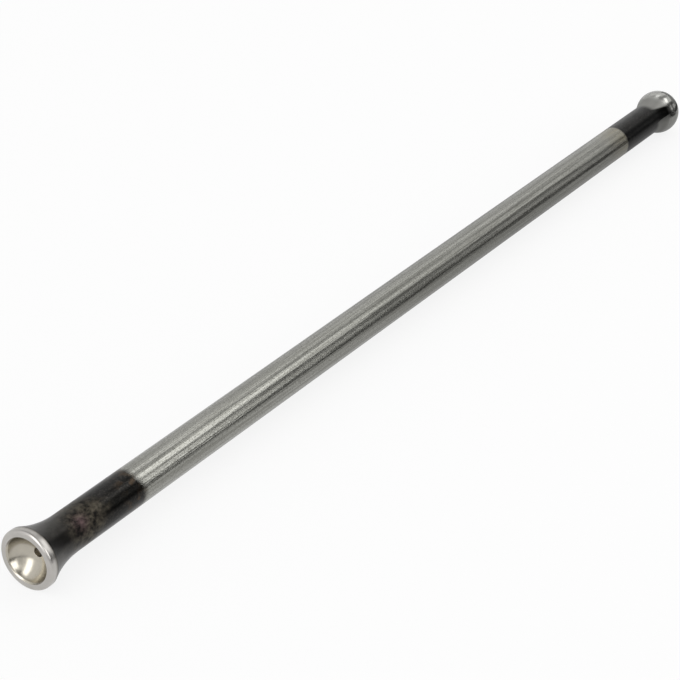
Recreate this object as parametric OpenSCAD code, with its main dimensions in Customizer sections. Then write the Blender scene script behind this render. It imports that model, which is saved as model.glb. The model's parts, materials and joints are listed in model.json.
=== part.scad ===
// Engine pushrod, forged and turned from one steel bar.
// It lies along X: the flared cup faces -X, the ball is at the +X end, and +Z is up.
// The origin is the centre of the ball seat in the cup, where the mating ball pivots.
// Lengths along the rod are measured from the flat rim of the cup.

/* [Shaft] */
// Diameter of the drawn shaft
shaft_d = 9.5; // [8:0.1:11]
// Length of the rod, from the cup's rim to the tip of the ball
overall_len = 308; // [120:1:500]

/* [Cup end] */
// Outside diameter of the cup's rim
rim_d = 14.4; // [13.5:0.1:17]
// Radius that rounds the outer edge of the rim
rim_edge_r = 0.7; // [0.2:0.05:0.7]
// Length of the machined land on the outside of the rim, with its rounded edge
land_len = 1.9; // [1:0.05:4]
// Radius of the hollow flare that widens the shaft to the land
flare_r = 25.6; // [10:0.1:60]
// Spherical radius of the seat in the cup
seat_r = 5.7; // [5:0.05:6]
// Depth of the seat below the rim
seat_depth = 4; // [3:0.05:4.6]
// Leg of the bevel that breaks the edge of the seat's mouth
mouth_bevel = 0.2; // [0.05:0.05:0.25]

/* [Relief hole] */
// Diameter of the relief hole in the bottom of the seat
relief_d = 2.2; // [1:0.1:3.5]
// Depth of the relief hole below the bottom of the seat, without its drilled point
relief_depth = 2.5; // [0.5:0.1:8]
// Full angle of the drilled point
relief_point_deg = 118; // [90:1:140]

/* [Ball end] */
// Diameter of the ball
ball_d = 13.2; // [11.5:0.1:16]
// Radius of the hollow neck between the shaft and the ball
neck_r = 16; // [4:0.5:40]

/* [Hidden] */
$fn = 160;
steel = [0.56, 0.55, 0.53];
shaft_r = shaft_d / 2;
rim_r = rim_d / 2;
ball_r = ball_d / 2;
relief_r = relief_d / 2;

// The rim stands this far behind the centre of the seat
rim_x = seat_r - seat_depth;
mouth_r = sqrt(seat_r ^ 2 - rim_x ^ 2);
// Point in the open seat that the bevel's slope of 45 degrees runs out to
bevel_end = [mouth_r - 3 * mouth_bevel, 4 * mouth_bevel];

// The flare is tangent to the shaft at its thin end and meets the land at its wide end
flare_end = land_len + sqrt(flare_r ^ 2 - (flare_r - (rim_r - shaft_r)) ^ 2);

// The neck is tangent to the shaft, and bites this little into the ball to meet it at a clean edge
neck_bite = 0.004;
ball_at = overall_len - ball_r;
neck_centre_r = shaft_r + neck_r;
centres_apart = ball_r + neck_r - neck_bite;
neck_len = sqrt(centres_apart ^ 2 - neck_centre_r ^ 2);
// Point between the two arcs where they bite, as radius and distance behind the ball's centre
neck_top = (ball_r - neck_bite / 2) / centres_apart * [neck_centre_r, -neck_len];

relief_end = seat_depth + relief_depth;
relief_point = relief_r / tan(relief_point_deg / 2);

// The profiles below hold the radius along their X and the length along the rod along their Y

// Rounded outer edge of the rim, a quarter of a circle
module rim_edge() {
    translate([rim_r - rim_edge_r, rim_edge_r])
        intersection() {
            circle(r = rim_edge_r);
            translate([0, -rim_d]) square(rim_d);
        }
}

// Solid head of the cup: rounded edge, land and hollow flare
module cup_blank() {
    square([rim_r - rim_edge_r, rim_edge_r]);
    rim_edge();
    difference() {
        translate([0, rim_edge_r]) square([rim_r, flare_end - rim_edge_r]);
        translate([shaft_r + flare_r, flare_end]) circle(r = flare_r);
    }
}

// What is cut out of the cup: the seat, the bevel at its mouth and the drilled relief hole
module cup_hollow() {
    translate([0, -rim_x]) circle(r = seat_r);
    polygon([[0, 0], [mouth_r + mouth_bevel, 0], bevel_end, [0, bevel_end[1]]]);
    polygon([[0, 0], [relief_r, 0], [relief_r, relief_end], [0, relief_end + relief_point]]);
}

// Hollow neck that rises from the shaft to the ball, seen from the ball's centre
module neck() {
    difference() {
        polygon([[0, -neck_len], [neck_top[0], -neck_len], neck_top, [0, 0]]);
        translate([neck_centre_r, -neck_len]) circle(r = neck_r);
    }
}

// The ball, as the half of a circle beside the rod's axis
module ball() {
    intersection() {
        circle(r = ball_r);
        translate([0, -ball_d]) square([ball_d, 2 * ball_d]);
    }
}

module pushrod_profile() {
    difference() {
        union() {
            cup_blank();
            translate([0, land_len]) square([shaft_r, ball_at - land_len]);
        }
        cup_hollow();
    }
    translate([0, ball_at]) {
        neck();
        ball();
    }
}

module pushrod() {
    color(steel)
        translate([rim_x, 0, 0])
            rotate([0, 90, 0])
                rotate_extrude()
                    pushrod_profile();
}

pushrod();
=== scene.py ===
import json
import math

import bpy
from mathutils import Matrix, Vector


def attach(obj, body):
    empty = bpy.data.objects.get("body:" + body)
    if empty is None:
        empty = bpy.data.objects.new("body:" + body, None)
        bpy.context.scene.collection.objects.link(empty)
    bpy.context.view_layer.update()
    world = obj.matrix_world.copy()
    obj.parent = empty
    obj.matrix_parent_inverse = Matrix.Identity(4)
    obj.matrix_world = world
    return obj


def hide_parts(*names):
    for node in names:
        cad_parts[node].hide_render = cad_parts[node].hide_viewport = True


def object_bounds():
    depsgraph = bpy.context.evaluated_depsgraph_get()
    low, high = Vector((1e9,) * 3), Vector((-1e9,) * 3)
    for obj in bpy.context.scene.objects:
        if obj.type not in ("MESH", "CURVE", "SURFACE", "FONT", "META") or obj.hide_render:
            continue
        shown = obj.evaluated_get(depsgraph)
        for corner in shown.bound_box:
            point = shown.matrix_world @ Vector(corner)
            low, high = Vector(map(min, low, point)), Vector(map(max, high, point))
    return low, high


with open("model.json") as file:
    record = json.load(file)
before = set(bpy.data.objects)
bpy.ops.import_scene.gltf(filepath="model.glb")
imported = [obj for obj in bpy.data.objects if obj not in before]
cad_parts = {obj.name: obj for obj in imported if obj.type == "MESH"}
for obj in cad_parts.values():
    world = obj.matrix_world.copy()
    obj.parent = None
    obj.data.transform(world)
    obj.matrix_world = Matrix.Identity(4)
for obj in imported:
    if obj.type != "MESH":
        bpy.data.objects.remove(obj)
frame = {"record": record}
cad_low, cad_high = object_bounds()

# Sizes of the rod, in metres, in the frame of the CAD model: X runs from the cup to the ball
MM = 0.001
mounts = {mount["name"]: mount for mount in frame["record"]["mounts"]}
RIM_X = cad_low.x
RIM_R = cad_high.z
TIP_X = cad_high.x
SEAT_R = mounts["cup_seat"]["dims"]["r_mm"] * MM
BALL_R = mounts["ball_end"]["dims"]["r_mm"] * MM
BALL_X = TIP_X - BALL_R
SHAFT_R = 4.75 * MM
RIM_EDGE_R = 0.7 * MM
LAND_LEN = 1.9 * MM
FLARE_R = 25.6 * MM
MOUTH_BEVEL = 0.2 * MM
RELIEF_R = 1.1 * MM
RELIEF_DEPTH = 2.5 * MM
RELIEF_POINT = math.radians(118)
NECK_R = 16 * MM

# Breaks on the sharp corners, as a fine stone leaves them
CORNER_BREAK = 0.06 * MM
BREAK_STEPS = 2

# How finely the rod is turned
TURN_STEPS = 192
SEAT_STEPS = 28
RIM_STEPS = 2
EDGE_STEPS = 8
LAND_STEPS = 2
FLARE_STEPS = 24
NECK_STEPS = 12
BALL_STEPS = 40
SHAFT_STEPS = 40
SAME_POINT = 0.001 * MM
SMOOTH_BELOW = math.radians(30)

# Places along the rod where one form ends and the next begins
LAND_END = RIM_X + LAND_LEN
FLARE_END = LAND_END + math.sqrt(FLARE_R ** 2 - (FLARE_R - (RIM_R - SHAFT_R)) ** 2)
NECK_LEN = math.sqrt((BALL_R + NECK_R) ** 2 - (SHAFT_R + NECK_R) ** 2)
NECK_START = BALL_X - NECK_LEN
GROUND_START = BALL_X - BALL_R * NECK_LEN / (BALL_R + NECK_R)

# The four finishes, by their place in the rod's list of materials, and how far out the relief hole's goes
SHAFT_FINISH, LIP_FINISH, SEAT_FINISH, RELIEF_FINISH = range(4)
RELIEF_REACH = RELIEF_R + 0.011 * MM

# Where the tints that the heat left begin and end along the rod, and how softly
NEAR_TINT_END = RIM_X + 34.2 * MM
NEAR_TINT_SOFT = 1.3 * MM
NEAR_TINT_WANDER = 6 * MM
NEAR_TINT_SPECKS = 2 * MM
FAR_TINT_START = RIM_X + 271.4 * MM
FAR_TINT_SOFT = 0.5 * MM
STRAW_START = FAR_TINT_START - 14 * MM
BLACK_FADE = (RIM_X + 19 * MM, RIM_X + 28 * MM)
BLACK_WANDER = 8 * MM
RUST_FADE = (NEAR_TINT_END - 8 * MM, NEAR_TINT_END - 3 * MM)
NECK_SOFT = 1.4 * MM

# Where the dull neck gives way to the ground ball, in colour and in polish
BALL_COLOUR_FADE = (GROUND_START - 2.5 * MM, GROUND_START + 1 * MM)
BALL_POLISH_FADE = (GROUND_START - 1.5 * MM, GROUND_START + 0.5 * MM)

# Marks on the near scale: their place along the rod and round it, from the front up, how far their edges
# wander, and the distances from that place, wander and all, over which they fade in
PATCH_X = RIM_X + 16 * MM
PATCH_TURN = math.radians(42)
PATCH_WANDER = 9 * MM
PATCH_FADE = (13 * MM, 7.5 * MM)
PLUM_X = RIM_X + 14 * MM
PLUM_TURN = math.radians(43)
PLUM_WANDER = 5 * MM
PLUM_FADE = (6 * MM, 3 * MM)
SOOT_X = RIM_X + 8.5 * MM
SOOT_TURN = math.radians(35)
SOOT_WANDER = 7 * MM
SOOT_FADE = (8.2 * MM, 5 * MM)

# Sides of the painted dark reflection along the front of the scale, and of the one that runs up the neck
PAINTED_DARK_LOWER_SIDE = (math.radians(12), math.radians(24))
PAINTED_DARK_UPPER_SIDE = (math.radians(56), math.radians(42))
PAINTED_DARK_TONGUE_LOWER_SIDE = (math.radians(6), math.radians(18))
PAINTED_DARK_TONGUE_UPPER_SIDE = (math.radians(66), math.radians(38))
PAINTED_DARK_TONGUE_LEN = 6.5 * MM

# Where the lip is worn, and the seat's painted shade: by the right side of the mouth and on the upper wall
WORN_FADE = (LAND_END - 0.8 * MM, LAND_END + 0.2 * MM)
MOUTH_SHADE_FADE = (RIM_X + 1.8 * MM, RIM_X + 0.4 * MM)
MOUTH_SHADE_SIDE = (0, -3 * MM)
UPPER_WALL_SHADE_WAY = (0, 0.4, 0.9)
UPPER_WALL_SHADE_FADE = (3.3 * MM, 4.6 * MM)

# Levels of noise between which grains show, ranges that a noise is spread over, and shares of a mix
RUST_LEVELS = (0.46, 0.62)
DUST_LEVELS = (0.48, 0.66)
SCORE_LEVELS = (0.42, 0.62)
PIT_LEVELS = (0.50, 0.62)
MOTTLE_RANGE = (-0.6, 1.4)
STRAW_RANGE = (0.1, 0.9)
CLOUD_SHARE = 0.45
DUST_SHARE = 0.36
SOOT_SHARE = 0.5
PAINTED_DARK_SHARES = (0.72, 0.92)
SCORE_SHARE = 0.55
PIT_SHARE = 0.6

# Colours of the finishes: a pair runs from the darkest grains to the palest
GREY_SCALE = ((0.037, 0.036, 0.032, 1), (0.068, 0.064, 0.058, 1))
BLACK_SCALE = ((0.011, 0.011, 0.010, 1), (0.024, 0.023, 0.022, 1))
# Painted dark reflection, laid along the front of the scale
PAINTED_DARK_SCALE = (0.003, 0.003, 0.0025, 1)
RUST = (0.048, 0.035, 0.024, 1)
DUST = (0.072, 0.067, 0.060, 1)
SOOT = (0.010, 0.009, 0.0085, 1)
PATCH_PITS = (0.011, 0.010, 0.009, 1)
PATCH_BROWN = (0.122, 0.107, 0.081, 1)
PATCH_PLUM = (0.130, 0.087, 0.088, 1)
SATIN_STEEL = ((0.288, 0.287, 0.262, 1), (0.394, 0.393, 0.362, 1))
SCORED_STEEL = (0.172, 0.170, 0.150, 1)
PITTED_STEEL = (0.152, 0.150, 0.131, 1)
STRAW_STEEL = (0.29, 0.262, 0.19, 1)
NECK_STEEL = (0.27, 0.268, 0.252, 1)
BALL_STEEL = ((0.35, 0.35, 0.33, 1), (0.42, 0.418, 0.40, 1))
LIP_STEEL = ((0.45, 0.434, 0.408, 1), (0.535, 0.515, 0.49, 1))
WORN_LIP = (0.10, 0.092, 0.078, 1)
SEAT_STEEL = ((0.42, 0.393, 0.336, 1), (0.505, 0.473, 0.405, 1))
# Painted shade, for the seat's upper wall and the right side of its mouth
PAINTED_SEAT_SHADE = (0.21, 0.193, 0.163, 1)
RELIEF_STEEL = ((0.52, 0.485, 0.42, 1), (0.64, 0.60, 0.53, 1))
PAPER = (0.85, 0.85, 0.85, 1)
WHITE = (1, 1, 1, 1)

# Roughness of the finishes, and the depth of the marks that the tools left
SCALE_ROUGHNESS = 0.30
PATCH_ROUGHNESS = 0.48
NECK_ROUGHNESS = 0.48
SATIN_ROUGHNESS = (0.20, 0.27)
BALL_ROUGHNESS = (0.15, 0.19)
LIP_ROUGHNESS = (0.27, 0.36)
SEAT_ROUGHNESS = (0.20, 0.27)
RELIEF_ROUGHNESS = (0.3, 0.4)
DRAWN_DEPTH = 0.055 * MM
LATHE_DEPTH = 0.008 * MM
POLISH_DEPTH = 0.004 * MM
DRILL_DEPTH = 0.01 * MM
SPECK_HEIGHT = 0.38
SCALE_HEIGHT = 0.45
RING_HEIGHT = 0.05

# The floor: its size, how far the paper is lifted to white, and its painted dimming in the metal along the
# rod.
# Then how far above it the low cards lie, and the shade of a glowing card
FLOOR_Z = -RIM_R
FLOOR_SIZE = 8
FLOOR_LIFT = 0.84
FLOOR_DIMS = (0.05, 0.55)
FLOOR_DIM_LEN = 250 * MM
CARD_LIFT = 1 * MM
FOOT_CARD_LIFT = 3.4 * MM
GLOW_SHADE = 0.8

# The camera stands where the photograph was taken from
PICTURE = 680
CAMERA_AZIMUTH = math.radians(-56.66)
CAMERA_ELEVATION = math.radians(27.98)
FOCAL_PIXELS = 2105
SENSOR_MM = 36
RIM_PIXEL = (25.9, 561.2)
RIM_DISTANCE = 440.5 * MM


def add_node(material, kind, inputs=None, **settings):
    """A node whose inputs are set to values, or linked where a socket is given."""
    made = material.node_tree.nodes.new(kind)
    for name, value in settings.items():
        setattr(made, name, value)
    for socket, value in (inputs or {}).items():
        if isinstance(value, bpy.types.NodeSocket):
            material.node_tree.links.new(value, made.inputs[socket])
        else:
            made.inputs[socket].default_value = value
    return made


def maths(material, operation, first, second):
    inputs = {0: first, 1: second}
    return add_node(material, "ShaderNodeMath", inputs, operation=operation).outputs[0]


def times(material, first, second):
    return maths(material, "MULTIPLY", first, second)


def shifted(material, value, noise, reach):
    """The value plus that reach of the noise, so that an edge laid on it wanders."""
    return maths(material, "ADD", value, times(material, noise, reach))


def fade(material, value, start, end):
    """0 where the value is at the start or before it, 1 at the end or past it, smooth between them."""
    inputs = {"Value": value, "From Min": start, "From Max": end}
    made = add_node(material, "ShaderNodeMapRange", inputs, interpolation_type="SMOOTHSTEP")
    return made.outputs[0]


def spread(material, noise, low, high):
    """The middle half of a noise's range, spread from low to high."""
    inputs = {"Value": noise, "From Min": 0.25, "From Max": 0.75, "To Min": low, "To Max": high}
    return add_node(material, "ShaderNodeMapRange", inputs).outputs[0]


def mix_colours(material, share, first, second):
    inputs = {0: share, 6: first, 7: second}
    return add_node(material, "ShaderNodeMix", inputs, data_type="RGBA").outputs[2]


def mix_values(material, share, first, second):
    inputs = {0: share, 2: first, 3: second}
    return add_node(material, "ShaderNodeMix", inputs, data_type="FLOAT").outputs[0]


def shades(material, noise, pair):
    """The two colours of a pair, mixed by the noise."""
    return mix_colours(material, spread(material, noise, 0, 1), *pair)


def grain(material, place, stretch, detail, offset=(0, 0, 0)):
    """Noise with that many grains to the metre along each axis."""
    inputs = {"Vector": place, "Scale": stretch, "Location": offset}
    mapped = add_node(material, "ShaderNodeMapping", inputs).outputs[0]
    inputs = {"Vector": mapped, "Scale": 1.0, "Detail": detail, "Roughness": 0.55}
    return add_node(material, "ShaderNodeTexNoise", inputs).outputs["Fac"]


def split(material, place):
    """The X, Y and Z of a point."""
    return add_node(material, "ShaderNodeSeparateXYZ", {0: place}).outputs


def turn_round(material, place):
    """The angle of a point about the rod's axis, from the front up."""
    sides = split(material, place)
    return maths(material, "ARCTAN2", sides[2], times(material, sides[1], -1.0))


def strip(material, turn, lower_side, upper_side):
    """1 on a strip along the rod, fading out over its two sides."""
    return times(material, fade(material, turn, *lower_side), fade(material, turn, *upper_side))


def distance_from(material, place, x, turn):
    """How far a point is from the place on the shaft that lies so far along and so far round."""
    middle = (x, -SHAFT_R * math.cos(turn), SHAFT_R * math.sin(turn))
    inputs = {0: place, 1: middle}
    return add_node(material, "ShaderNodeVectorMath", inputs, operation="DISTANCE").outputs["Value"]


def new_finish(name):
    """A bare metal, with its shader, a point's place on the object, and how far along the rod that is."""
    material = bpy.data.materials.new(name)
    material.use_nodes = True
    shader = material.node_tree.nodes["Principled BSDF"]
    shader.inputs["Metallic"].default_value = 1.0
    place = add_node(material, "ShaderNodeTexCoord").outputs["Object"]
    return material, shader, place, split(material, place)[0]


def finish_shader(material, shader, colour, roughness, height, depth):
    """Links the colour, the roughness and the marks of that depth to the shader."""
    links = material.node_tree.links
    links.new(colour, shader.inputs["Base Color"])
    links.new(roughness, shader.inputs["Roughness"])
    inputs = {"Height": height, "Strength": 1.0, "Distance": depth}
    links.new(add_node(material, "ShaderNodeBump", inputs).outputs[0], shader.inputs["Normal"])


def plain_scale(material, place, along, wander):
    """The scale without its marks: grey by the cup, then black, rusty by the near edge, dusty all over."""
    blotches = grain(material, place, (330, 420, 420), 4)
    dust = grain(material, place, (1900, 2300, 2300), 3, (0.13, 0.77, 0.45))
    rust = grain(material, place, (420, 520, 520), 3, (0.91, 0.37, 0.64))
    grey = shades(material, blotches, GREY_SCALE)
    black = shades(material, blotches, BLACK_SCALE)
    blackened = fade(material, shifted(material, along, wander, BLACK_WANDER), *BLACK_FADE)
    tint = mix_colours(material, blackened, grey, black)
    by_cup = fade(material, along, FAR_TINT_START, NEAR_TINT_END)
    by_edge = times(material, fade(material, along, *RUST_FADE), by_cup)
    rusty = times(material, by_edge, fade(material, rust, *RUST_LEVELS))
    tint = mix_colours(material, rusty, tint, RUST)
    dusty = times(material, fade(material, dust, *DUST_LEVELS), DUST_SHARE)
    return mix_colours(material, dusty, tint, DUST)


def patch_colour(material, place, mottle):
    """The patch on the near scale: brown, plum in its middle, and pitted dark."""
    from_plum = distance_from(material, place, PLUM_X, PLUM_TURN)
    plum = fade(material, shifted(material, from_plum, mottle, PLUM_WANDER), *PLUM_FADE)
    rubbed = mix_colours(material, plum, PATCH_BROWN, PATCH_PLUM)
    return mix_colours(material, spread(material, mottle, *MOTTLE_RANGE), PATCH_PITS, rubbed)


def heat_scale(material, place, along, turn):
    """The scale left by hardening, with painted dark reflection along its front, a patch and a soot mark.
    """
    wander = grain(material, place, (260, 330, 330), 3, (0.57, 0.83, 0.21))
    mottle = grain(material, place, (900, 1150, 1150), 6, (0.31, 0.12, 0.73))
    clouds = grain(material, place, (360, 480, 480), 4, (0.62, 0.28, 0.17))
    mottle = mix_values(material, CLOUD_SHARE, mottle, clouds)

    tint = plain_scale(material, place, along, wander)
    farther = fade(material, along, NEAR_TINT_END, FAR_TINT_START)
    # Painted dark reflection: a strip along the front of the scale is darkened, more towards the far end
    painted_dark = strip(material, turn, PAINTED_DARK_LOWER_SIDE, PAINTED_DARK_UPPER_SIDE)
    painted_dark = times(material, painted_dark, mix_values(material, farther, *PAINTED_DARK_SHARES))
    tint = mix_colours(material, painted_dark, tint, PAINTED_DARK_SCALE)

    from_patch = distance_from(material, place, PATCH_X, PATCH_TURN)
    patch = fade(material, shifted(material, from_patch, wander, PATCH_WANDER), *PATCH_FADE)
    tint = mix_colours(material, patch, tint, patch_colour(material, place, mottle))

    from_soot = distance_from(material, place, SOOT_X, SOOT_TURN)
    sooty = fade(material, shifted(material, from_soot, mottle, SOOT_WANDER), *SOOT_FADE)
    tint = mix_colours(material, times(material, sooty, SOOT_SHARE), tint, SOOT)
    return tint, mix_values(material, patch, SCALE_ROUGHNESS, PATCH_ROUGHNESS)


def scale_cover(material, place, along, specks):
    """1 where the scale lies, up to a wandering edge behind the cup and a plain one before the neck."""
    drift = grain(material, place, (150, 190, 190), 2, (0.4, 0.1, 0.8))
    edge = shifted(material, along, maths(material, "SUBTRACT", drift, 0.5), NEAR_TINT_WANDER)
    edge = shifted(material, edge, maths(material, "SUBTRACT", specks, 0.5), NEAR_TINT_SPECKS)
    near = fade(material, edge, NEAR_TINT_END + NEAR_TINT_SOFT, NEAR_TINT_END - NEAR_TINT_SOFT)
    far = fade(material, along, FAR_TINT_START - FAR_TINT_SOFT, FAR_TINT_START + FAR_TINT_SOFT)
    return maths(material, "MAXIMUM", near, far)


def satin_colour(material, place, along, streaks, specks):
    """The bare shaft: streaked, scored along the rod and pitted, with a straw edge before the far scale."""
    lines = grain(material, place, (22, 3000, 3000), 2, (0.2, 0.4, 0.6))
    satin = shades(material, streaks, SATIN_STEEL)
    scored = times(material, fade(material, lines, *SCORE_LEVELS), SCORE_SHARE)
    satin = mix_colours(material, scored, satin, SCORED_STEEL)
    pitted = times(material, fade(material, specks, *PIT_LEVELS), PIT_SHARE)
    satin = mix_colours(material, pitted, satin, PITTED_STEEL)
    straw = fade(material, along, STRAW_START, FAR_TINT_START)
    straw = times(material, straw, spread(material, streaks, *STRAW_RANGE))
    return mix_colours(material, straw, satin, STRAW_STEEL)


def drawn_steel():
    """The shaft and the ball: drawn steel, tinted by heat behind both ends, ground bright on the ball."""
    material, shader, place, along = new_finish("drawn_steel")
    streaks = grain(material, place, (28, 1500, 1500), 3)
    specks = grain(material, place, (2300, 3000, 3000), 2)
    rings = grain(material, place, (3500, 60, 60), 2)
    film = grain(material, place, (220, 220, 220), 3)
    turn = turn_round(material, place)

    tinted = scale_cover(material, place, along, specks)
    # Painted dark reflection: along a strip of the front, the scale runs on up the neck past where the
    # ground steel starts
    dark_tongue = strip(material, turn, PAINTED_DARK_TONGUE_LOWER_SIDE, PAINTED_DARK_TONGUE_UPPER_SIDE)
    cleared = maths(material, "SUBTRACT", along, times(material, dark_tongue, PAINTED_DARK_TONGUE_LEN))
    neck = fade(material, cleared, NECK_START - NECK_SOFT, NECK_START + NECK_SOFT)
    ball = times(material, fade(material, along, *BALL_POLISH_FADE), neck)

    satin = satin_colour(material, place, along, streaks, specks)
    scale, scale_roughness = heat_scale(material, place, along, turn)
    bright = shades(material, film, BALL_STEEL)
    bright = mix_colours(material, fade(material, along, *BALL_COLOUR_FADE), NECK_STEEL, bright)
    colour = mix_colours(material, tinted, satin, scale)
    colour = mix_colours(material, neck, colour, bright)

    roughness = spread(material, streaks, *SATIN_ROUGHNESS)
    roughness = mix_values(material, tinted, roughness, scale_roughness)
    roughness = mix_values(material, neck, roughness, NECK_ROUGHNESS)
    roughness = mix_values(material, ball, roughness, spread(material, film, *BALL_ROUGHNESS))

    drawn = shifted(material, streaks, specks, SPECK_HEIGHT)
    drawn = mix_values(material, tinted, drawn, times(material, drawn, SCALE_HEIGHT))
    height = mix_values(material, neck, drawn, times(material, rings, RING_HEIGHT))
    finish_shader(material, shader, colour, roughness, height, DRAWN_DEPTH)
    return material


def turned_lip():
    """The rim and the land: bright steel with fine rings from the lathe, worn dark where the land ends."""
    material, shader, place, along = new_finish("turned_lip")
    inputs = {0: place, 1: (0, 1, 1)}
    flat = add_node(material, "ShaderNodeVectorMath", inputs, operation="MULTIPLY").outputs[0]
    radius = add_node(material, "ShaderNodeVectorMath", {0: flat}, operation="LENGTH").outputs["Value"]
    across = add_node(material, "ShaderNodeCombineXYZ", {0: along, 1: radius}).outputs[0]
    rings = grain(material, across, (5000, 5000, 0), 2)
    smears = grain(material, place, (300, 300, 300), 3)
    worn = fade(material, along, *WORN_FADE)
    colour = mix_colours(material, worn, shades(material, smears, LIP_STEEL), WORN_LIP)
    roughness = spread(material, rings, *LIP_ROUGHNESS)
    finish_shader(material, shader, colour, roughness, rings, LATHE_DEPTH)
    return material


def polished_seat():
    """The cup's bowl: polished steel with a film of oil, painted shade on its upper wall and by the mouth.
    """
    material, shader, place, along = new_finish("polished_seat")
    film = grain(material, place, (260, 260, 260), 3)
    haze = grain(material, place, (1500, 1500, 1500), 2)
    # Painted shade: the seat is darkened by the right side of the mouth and on its upper wall
    right_side = fade(material, split(material, place)[1], *MOUTH_SHADE_SIDE)
    mouth = times(material, fade(material, along, *MOUTH_SHADE_FADE), right_side)
    inputs = {0: place, 1: UPPER_WALL_SHADE_WAY}
    upper = add_node(material, "ShaderNodeVectorMath", inputs, operation="DOT_PRODUCT").outputs["Value"]
    painted_shade = maths(material, "MAXIMUM", mouth, fade(material, upper, *UPPER_WALL_SHADE_FADE))
    colour = mix_colours(material, painted_shade, shades(material, film, SEAT_STEEL), PAINTED_SEAT_SHADE)
    roughness = spread(material, film, *SEAT_ROUGHNESS)
    finish_shader(material, shader, colour, roughness, haze, POLISH_DEPTH)
    return material


def drilled_relief():
    """The relief hole: drilled steel with fine rings, left rough and dull."""
    material, shader, place, _ = new_finish("drilled_relief")
    rings = grain(material, place, (6000, 300, 300), 2)
    colour = shades(material, rings, RELIEF_STEEL)
    roughness = spread(material, rings, *RELIEF_ROUGHNESS)
    finish_shader(material, shader, colour, roughness, rings, DRILL_DEPTH)
    return material


def line_to(x, radius, steps=1):
    """The profile goes straight on to that place, in equal steps."""
    mesh = bpy.context.object.data
    bpy.context.object.update_from_editmode()
    start = next(vertex.co.copy() for vertex in mesh.vertices if vertex.select)
    step = (Vector((x, 0, radius)) - start) / steps
    for _ in range(steps):
        bpy.ops.mesh.extrude_region_move(TRANSFORM_OT_translate={"value": step})


def arc_round(x, radius, angle, steps):
    """The profile goes on round that centre. An angle above 0 leads over the top towards the ball."""
    bpy.ops.mesh.spin(steps=steps, angle=angle, center=(x, 0, radius), axis=(0, -1, 0))


def start_profile(x, radius):
    """A small plane, drawn together into the one point that the profile starts from."""
    bpy.ops.object.select_all(action="DESELECT")
    bpy.ops.mesh.primitive_plane_add(size=MM, location=(0, 0, 0))
    bpy.context.object.name = "turned_rod"
    bpy.ops.object.mode_set(mode="EDIT")
    bpy.ops.mesh.select_mode(type="VERT")
    bpy.ops.mesh.select_all(action="SELECT")
    bpy.ops.mesh.merge(type="CENTER")
    bpy.ops.transform.translate(value=(x, 0, radius))


def break_corners(corners):
    """Takes the sharpness off these corners of the profile."""
    mesh = bpy.context.object.data
    bpy.ops.mesh.select_all(action="DESELECT")
    bpy.ops.object.mode_set(mode="OBJECT")
    for vertex in mesh.vertices:
        place = Vector((vertex.co.x, vertex.co.z))
        vertex.select = any((place - Vector(corner)).length < SAME_POINT for corner in corners)
    bpy.ops.object.mode_set(mode="EDIT")
    bpy.ops.mesh.bevel(offset=CORNER_BREAK, segments=BREAK_STEPS, affect="VERTICES")


def turn_profile():
    """Spins the profile once round the rod's axis and closes the seam and the two poles."""
    bpy.ops.mesh.select_all(action="SELECT")
    bpy.ops.mesh.spin(steps=TURN_STEPS, angle=2 * math.pi, center=(0, 0, 0), axis=(1, 0, 0))
    bpy.ops.mesh.select_all(action="SELECT")
    bpy.ops.mesh.remove_doubles(threshold=SAME_POINT)
    bpy.ops.mesh.normals_make_consistent(inside=False)
    bpy.ops.object.mode_set(mode="OBJECT")


def finish_of(place):
    """Which finish a face has, by where its middle lies."""
    radius = math.hypot(place.y, place.z)
    if place.x > FLARE_END:
        return SHAFT_FINISH
    if radius < RELIEF_REACH:
        return RELIEF_FINISH
    if math.hypot(place.x, radius) < SEAT_R + MOUTH_BEVEL:
        return SEAT_FINISH
    return LIP_FINISH if place.x < LAND_END else SHAFT_FINISH


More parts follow.
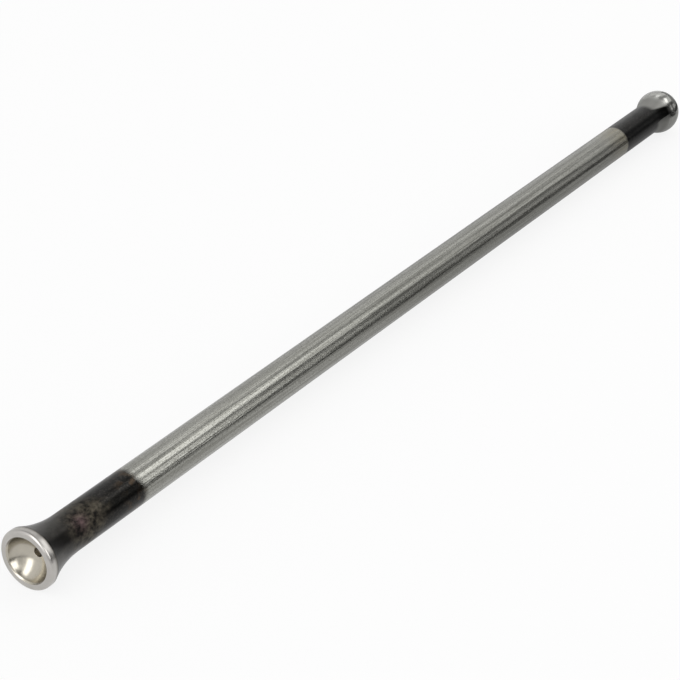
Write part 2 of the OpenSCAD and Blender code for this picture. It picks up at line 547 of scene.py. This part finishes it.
def turned_rod():
    """The whole rod, turned from its profile: relief hole, seat, rim, flare, shaft, neck and ball."""
    mouth_r = math.sqrt(SEAT_R ** 2 - RIM_X ** 2)
    run = mouth_r + MOUTH_BEVEL - RIM_X
    bevel_depth = (run - math.sqrt(run ** 2 - 4 * mouth_r * MOUTH_BEVEL - 2 * MOUTH_BEVEL ** 2)) / 2
    seat_start = math.asin(RELIEF_R / SEAT_R)
    seat_end = math.acos((RIM_X + bevel_depth) / SEAT_R)
    relief_end = SEAT_R + RELIEF_DEPTH
    relief_edge = (SEAT_R * math.cos(seat_start), RELIEF_R)
    bevel_inner = (SEAT_R * math.cos(seat_end), SEAT_R * math.sin(seat_end))
    bevel_outer = (RIM_X, mouth_r + MOUTH_BEVEL)
    land_corner = (LAND_END, RIM_R)
    flare_turn = math.asin((FLARE_END - LAND_END) / FLARE_R)
    neck_turn = math.asin(NECK_LEN / (BALL_R + NECK_R))

    start_profile(relief_end + RELIEF_R / math.tan(RELIEF_POINT / 2), 0)
    line_to(relief_end, RELIEF_R)
    line_to(*relief_edge)
    arc_round(0, 0, seat_start - seat_end, SEAT_STEPS)
    line_to(*bevel_outer)
    line_to(RIM_X, RIM_R - RIM_EDGE_R, RIM_STEPS)
    arc_round(RIM_X + RIM_EDGE_R, RIM_R - RIM_EDGE_R, math.pi / 2, EDGE_STEPS)
    line_to(*land_corner, LAND_STEPS)
    arc_round(FLARE_END, SHAFT_R + FLARE_R, -flare_turn, FLARE_STEPS)
    line_to(NECK_START, SHAFT_R, SHAFT_STEPS)
    arc_round(NECK_START, SHAFT_R + NECK_R, -neck_turn, NECK_STEPS)
    arc_round(BALL_X, 0, math.pi / 2 + neck_turn, BALL_STEPS)
    break_corners([relief_edge, bevel_inner, bevel_outer, land_corner])
    turn_profile()

    rod = bpy.context.object
    bpy.ops.object.shade_smooth_by_angle(angle=SMOOTH_BELOW)
    for finish in (drawn_steel(), turned_lip(), polished_seat(), drilled_relief()):
        rod.data.materials.append(finish)
    for face in rod.data.polygons:
        face.material_index = finish_of(face.center)
    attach(rod, "root")
    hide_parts("pushrod")


def matte(name, colour):
    """A plain matte material and its shader."""
    material = bpy.data.materials.new(name)
    material.use_nodes = True
    shader = material.node_tree.nodes["Principled BSDF"]
    shader.inputs["Base Color"].default_value = colour
    shader.inputs["Roughness"].default_value = 1.0
    shader.inputs["Specular IOR Level"].default_value = 0.0
    return material, shader


def pale_floor():
    """The table that the rim and the ball lie on, so it leans a little towards the ball."""
    lean = math.atan((RIM_R - BALL_R) / (BALL_X - LAND_END))
    place = (LAND_END, 0, FLOOR_Z)
    bpy.ops.mesh.primitive_plane_add(size=FLOOR_SIZE, location=place, rotation=(0, -lean, 0))
    floor = bpy.context.object
    floor.name = "floor"
    paper, shader = matte("pale_paper", PAPER)
    along = split(paper, add_node(paper, "ShaderNodeTexCoord").outputs["Object"])[0]
    ray = add_node(paper, "ShaderNodeLightPath").outputs
    # Painted falloff of light: the floor's glow, as the metal shows it, dims along the rod towards the ball
    painted_dimming = mix_values(paper, fade(paper, along, 0, FLOOR_DIM_LEN), *FLOOR_DIMS)
    level = maths(paper, "SUBTRACT", 1.0, times(paper, ray["Is Glossy Ray"], painted_dimming))
    white = add_node(paper, "ShaderNodeEmission", {"Color": WHITE, "Strength": level}).outputs[0]
    seen = maths(paper, "MAXIMUM", ray["Is Camera Ray"], ray["Is Glossy Ray"])
    inputs = {0: times(paper, seen, FLOOR_LIFT), 1: shader.outputs[0], 2: white}
    both = add_node(paper, "ShaderNodeMixShader", inputs).outputs[0]
    output = paper.node_tree.nodes["Material Output"]
    paper.node_tree.links.new(both, output.inputs["Surface"])
    floor.data.materials.append(paper)


def card(name, place, turn, size, shade, glow=0.0):
    """A flat card, grey or glowing white, that only the metal shows. Its turn is in degrees."""
    turn = [math.radians(angle) for angle in turn]
    bpy.ops.mesh.primitive_plane_add(size=1, location=place, rotation=turn)
    panel = bpy.context.object
    panel.name = name
    panel.scale = (*size, 1)
    panel.visible_camera = False
    panel.visible_diffuse = False
    panel.visible_shadow = False
    felt, shader = matte(name + "_felt", (shade, shade, shade, 1))
    shader.inputs["Emission Color"].default_value = WHITE
    shader.inputs["Emission Strength"].default_value = glow
    panel.data.materials.append(felt)


def upright_card(name, place, facing, size, shade, lift=0.0):
    """A card that stands on the table, or that far above it, turned about the upright axis."""
    middle = (place[0], place[1], FLOOR_Z + lift + size[1] / 2)
    card(name, middle, (90, 0, facing), size, shade)


def cup_card(name, azimuth, elevation, distance, size, glow):
    """A glowing card that faces the cup from that direction, given in degrees."""
    level = distance * math.cos(math.radians(elevation))
    place = (
        level * math.cos(math.radians(azimuth)),
        level * math.sin(math.radians(azimuth)),
        distance * math.sin(math.radians(elevation)),
    )
    card(name, place, (90 - elevation, 0, azimuth + 90), size, GLOW_SHADE, glow)


def soft_box(name, place, aim, size, glow, beam):
    """A soft light of that glow, aimed at a place on the axis, in a beam of that half angle in degrees."""
    beam = math.radians(beam)
    lamp = bpy.data.lights.new(name, "AREA")
    lamp.shape = "RECTANGLE"
    lamp.size = size[0]
    lamp.size_y = size[1]
    lamp.spread = 2 * beam
    lamp.energy = glow * math.pi * size[0] * size[1] * (1 - beam / math.tan(beam))
    light = bpy.data.objects.new(name, lamp)
    light.location = place
    light.rotation_euler = (Vector((aim, 0, 0)) - Vector(place)).to_track_quat("-Z", "Y").to_euler()
    light.visible_camera = False
    bpy.context.collection.objects.link(light)


def studio_light():
    """White light from all round, two soft boxes, and the cards that the metal shows."""
    world = bpy.data.worlds.new("studio")
    world.use_nodes = True
    world.node_tree.nodes["Background"].inputs["Color"].default_value = WHITE
    world.node_tree.nodes["Background"].inputs["Strength"].default_value = 1.0
    bpy.context.scene.world = world
    soft_box("key_light", (0.58, -0.272, 0.534), 0.2, (0.28, 0.17), 2.0, 80)
    soft_box("side_light", (0.535, -0.55, 0.225), -0.15, (0.21, 0.25), 2.85, 34)

    # Glowing cards, for the bowl, the land and the upper side of the shaft
    cup_card("right_glow", 253, 28, 0.2, (0.10, 0.12), 2.4)
    cup_card("front_glow", 180, 38, 0.25, (0.12, 0.36), 2.4)
    card("lip_glow", (0.095, -0.108, 0.104), (46, 0, 0), (0.12, 0.075), GLOW_SHADE, 1.0)
    card("rear_glow", (0.58, 0.17, 0.6), (0, 0, 0), (0.26, 0.16), GLOW_SHADE, 1.2)
    card("far_glow", (1.05, 0.17, 0.6), (0, 0, 0), (0.68, 0.16), GLOW_SHADE, 0.45)

    # Cards that stand round the rod
    upright_card("dark_card", (0.14, -0.6), 0, (0.88, 0.67), 0.03)
    upright_card("right_card", (1.6, -0.6), 0, (2.04, 0.67), 0.15)
    upright_card("strip_card", (1.4, -0.58), 0, (1.0, 0.23), 0.78, 0.11)
    upright_card("end_card", (1.0, -0.04), 90, (0.58, 0.34), 0.32)
    upright_card("camera_card", (-0.88, -0.88), -45, (0.5, 1.1), 0.8)
    upright_card("back_card", (0.5, 0.5), 0, (1.6, 0.42), 0.86)

    # Cards that hang over the rod
    card("rear_card", (1.35, 0.424, 0.424), (-45, 0, 0), (0.9, 0.35), 0.86)
    card("ball_card", (0.35, 0.55, 1.0), (0, 0, 0), (0.9, 1.5), 0.48)
    card("hood_card", (-0.0727, -0.1039, 0.272), (25, 0, -35), (0.11, 0.12), 0.1)
    card("roof_card", (0.6, -0.06, 0.6), (0, 0, 0), (1.5, 0.15), 0.55)

    # Cards that lie just above the table
    card("front_mat", (-0.13, -0.117, FLOOR_Z + CARD_LIFT), (0, 0, 42), (0.25, 0.27), 0.08)
    card("edge_card", (0.2094, -0.3247, FLOOR_Z + CARD_LIFT), (0, 0, 8.36), (0.336, 0.56), 0.05)
    card("foot_card", (1.145, -0.315, FLOOR_Z + FOOT_CARD_LIFT), (0, -0.115, 0), (1.6, 0.63), 0.04)


def camera():
    """Stands so that the middle of the rim falls on its pixel of the photograph."""
    right = Vector((math.cos(CAMERA_AZIMUTH), math.sin(CAMERA_AZIMUTH), 0))
    back = Vector((
        math.sin(CAMERA_AZIMUTH) * math.cos(CAMERA_ELEVATION),
        -math.cos(CAMERA_AZIMUTH) * math.cos(CAMERA_ELEVATION),
        math.sin(CAMERA_ELEVATION),
    ))
    up = back.cross(right)
    rim_right = (RIM_PIXEL[0] - PICTURE / 2) / FOCAL_PIXELS * RIM_DISTANCE
    rim_up = (PICTURE / 2 - RIM_PIXEL[1]) / FOCAL_PIXELS * RIM_DISTANCE
    lens = bpy.data.cameras.new("camera")
    lens.sensor_width = SENSOR_MM
    lens.lens = FOCAL_PIXELS / PICTURE * SENSOR_MM
    stand = bpy.data.objects.new("camera", lens)
    stand.location = Vector((RIM_X, 0, 0)) - rim_right * right - rim_up * up + RIM_DISTANCE * back
    stand.rotation_euler = (math.pi / 2 - CAMERA_ELEVATION, 0, CAMERA_AZIMUTH)
    bpy.context.collection.objects.link(stand)
    bpy.context.scene.camera = stand


bpy.context.scene.view_settings.view_transform = "Standard"
turned_rod()
pale_floor()
studio_light()
camera()
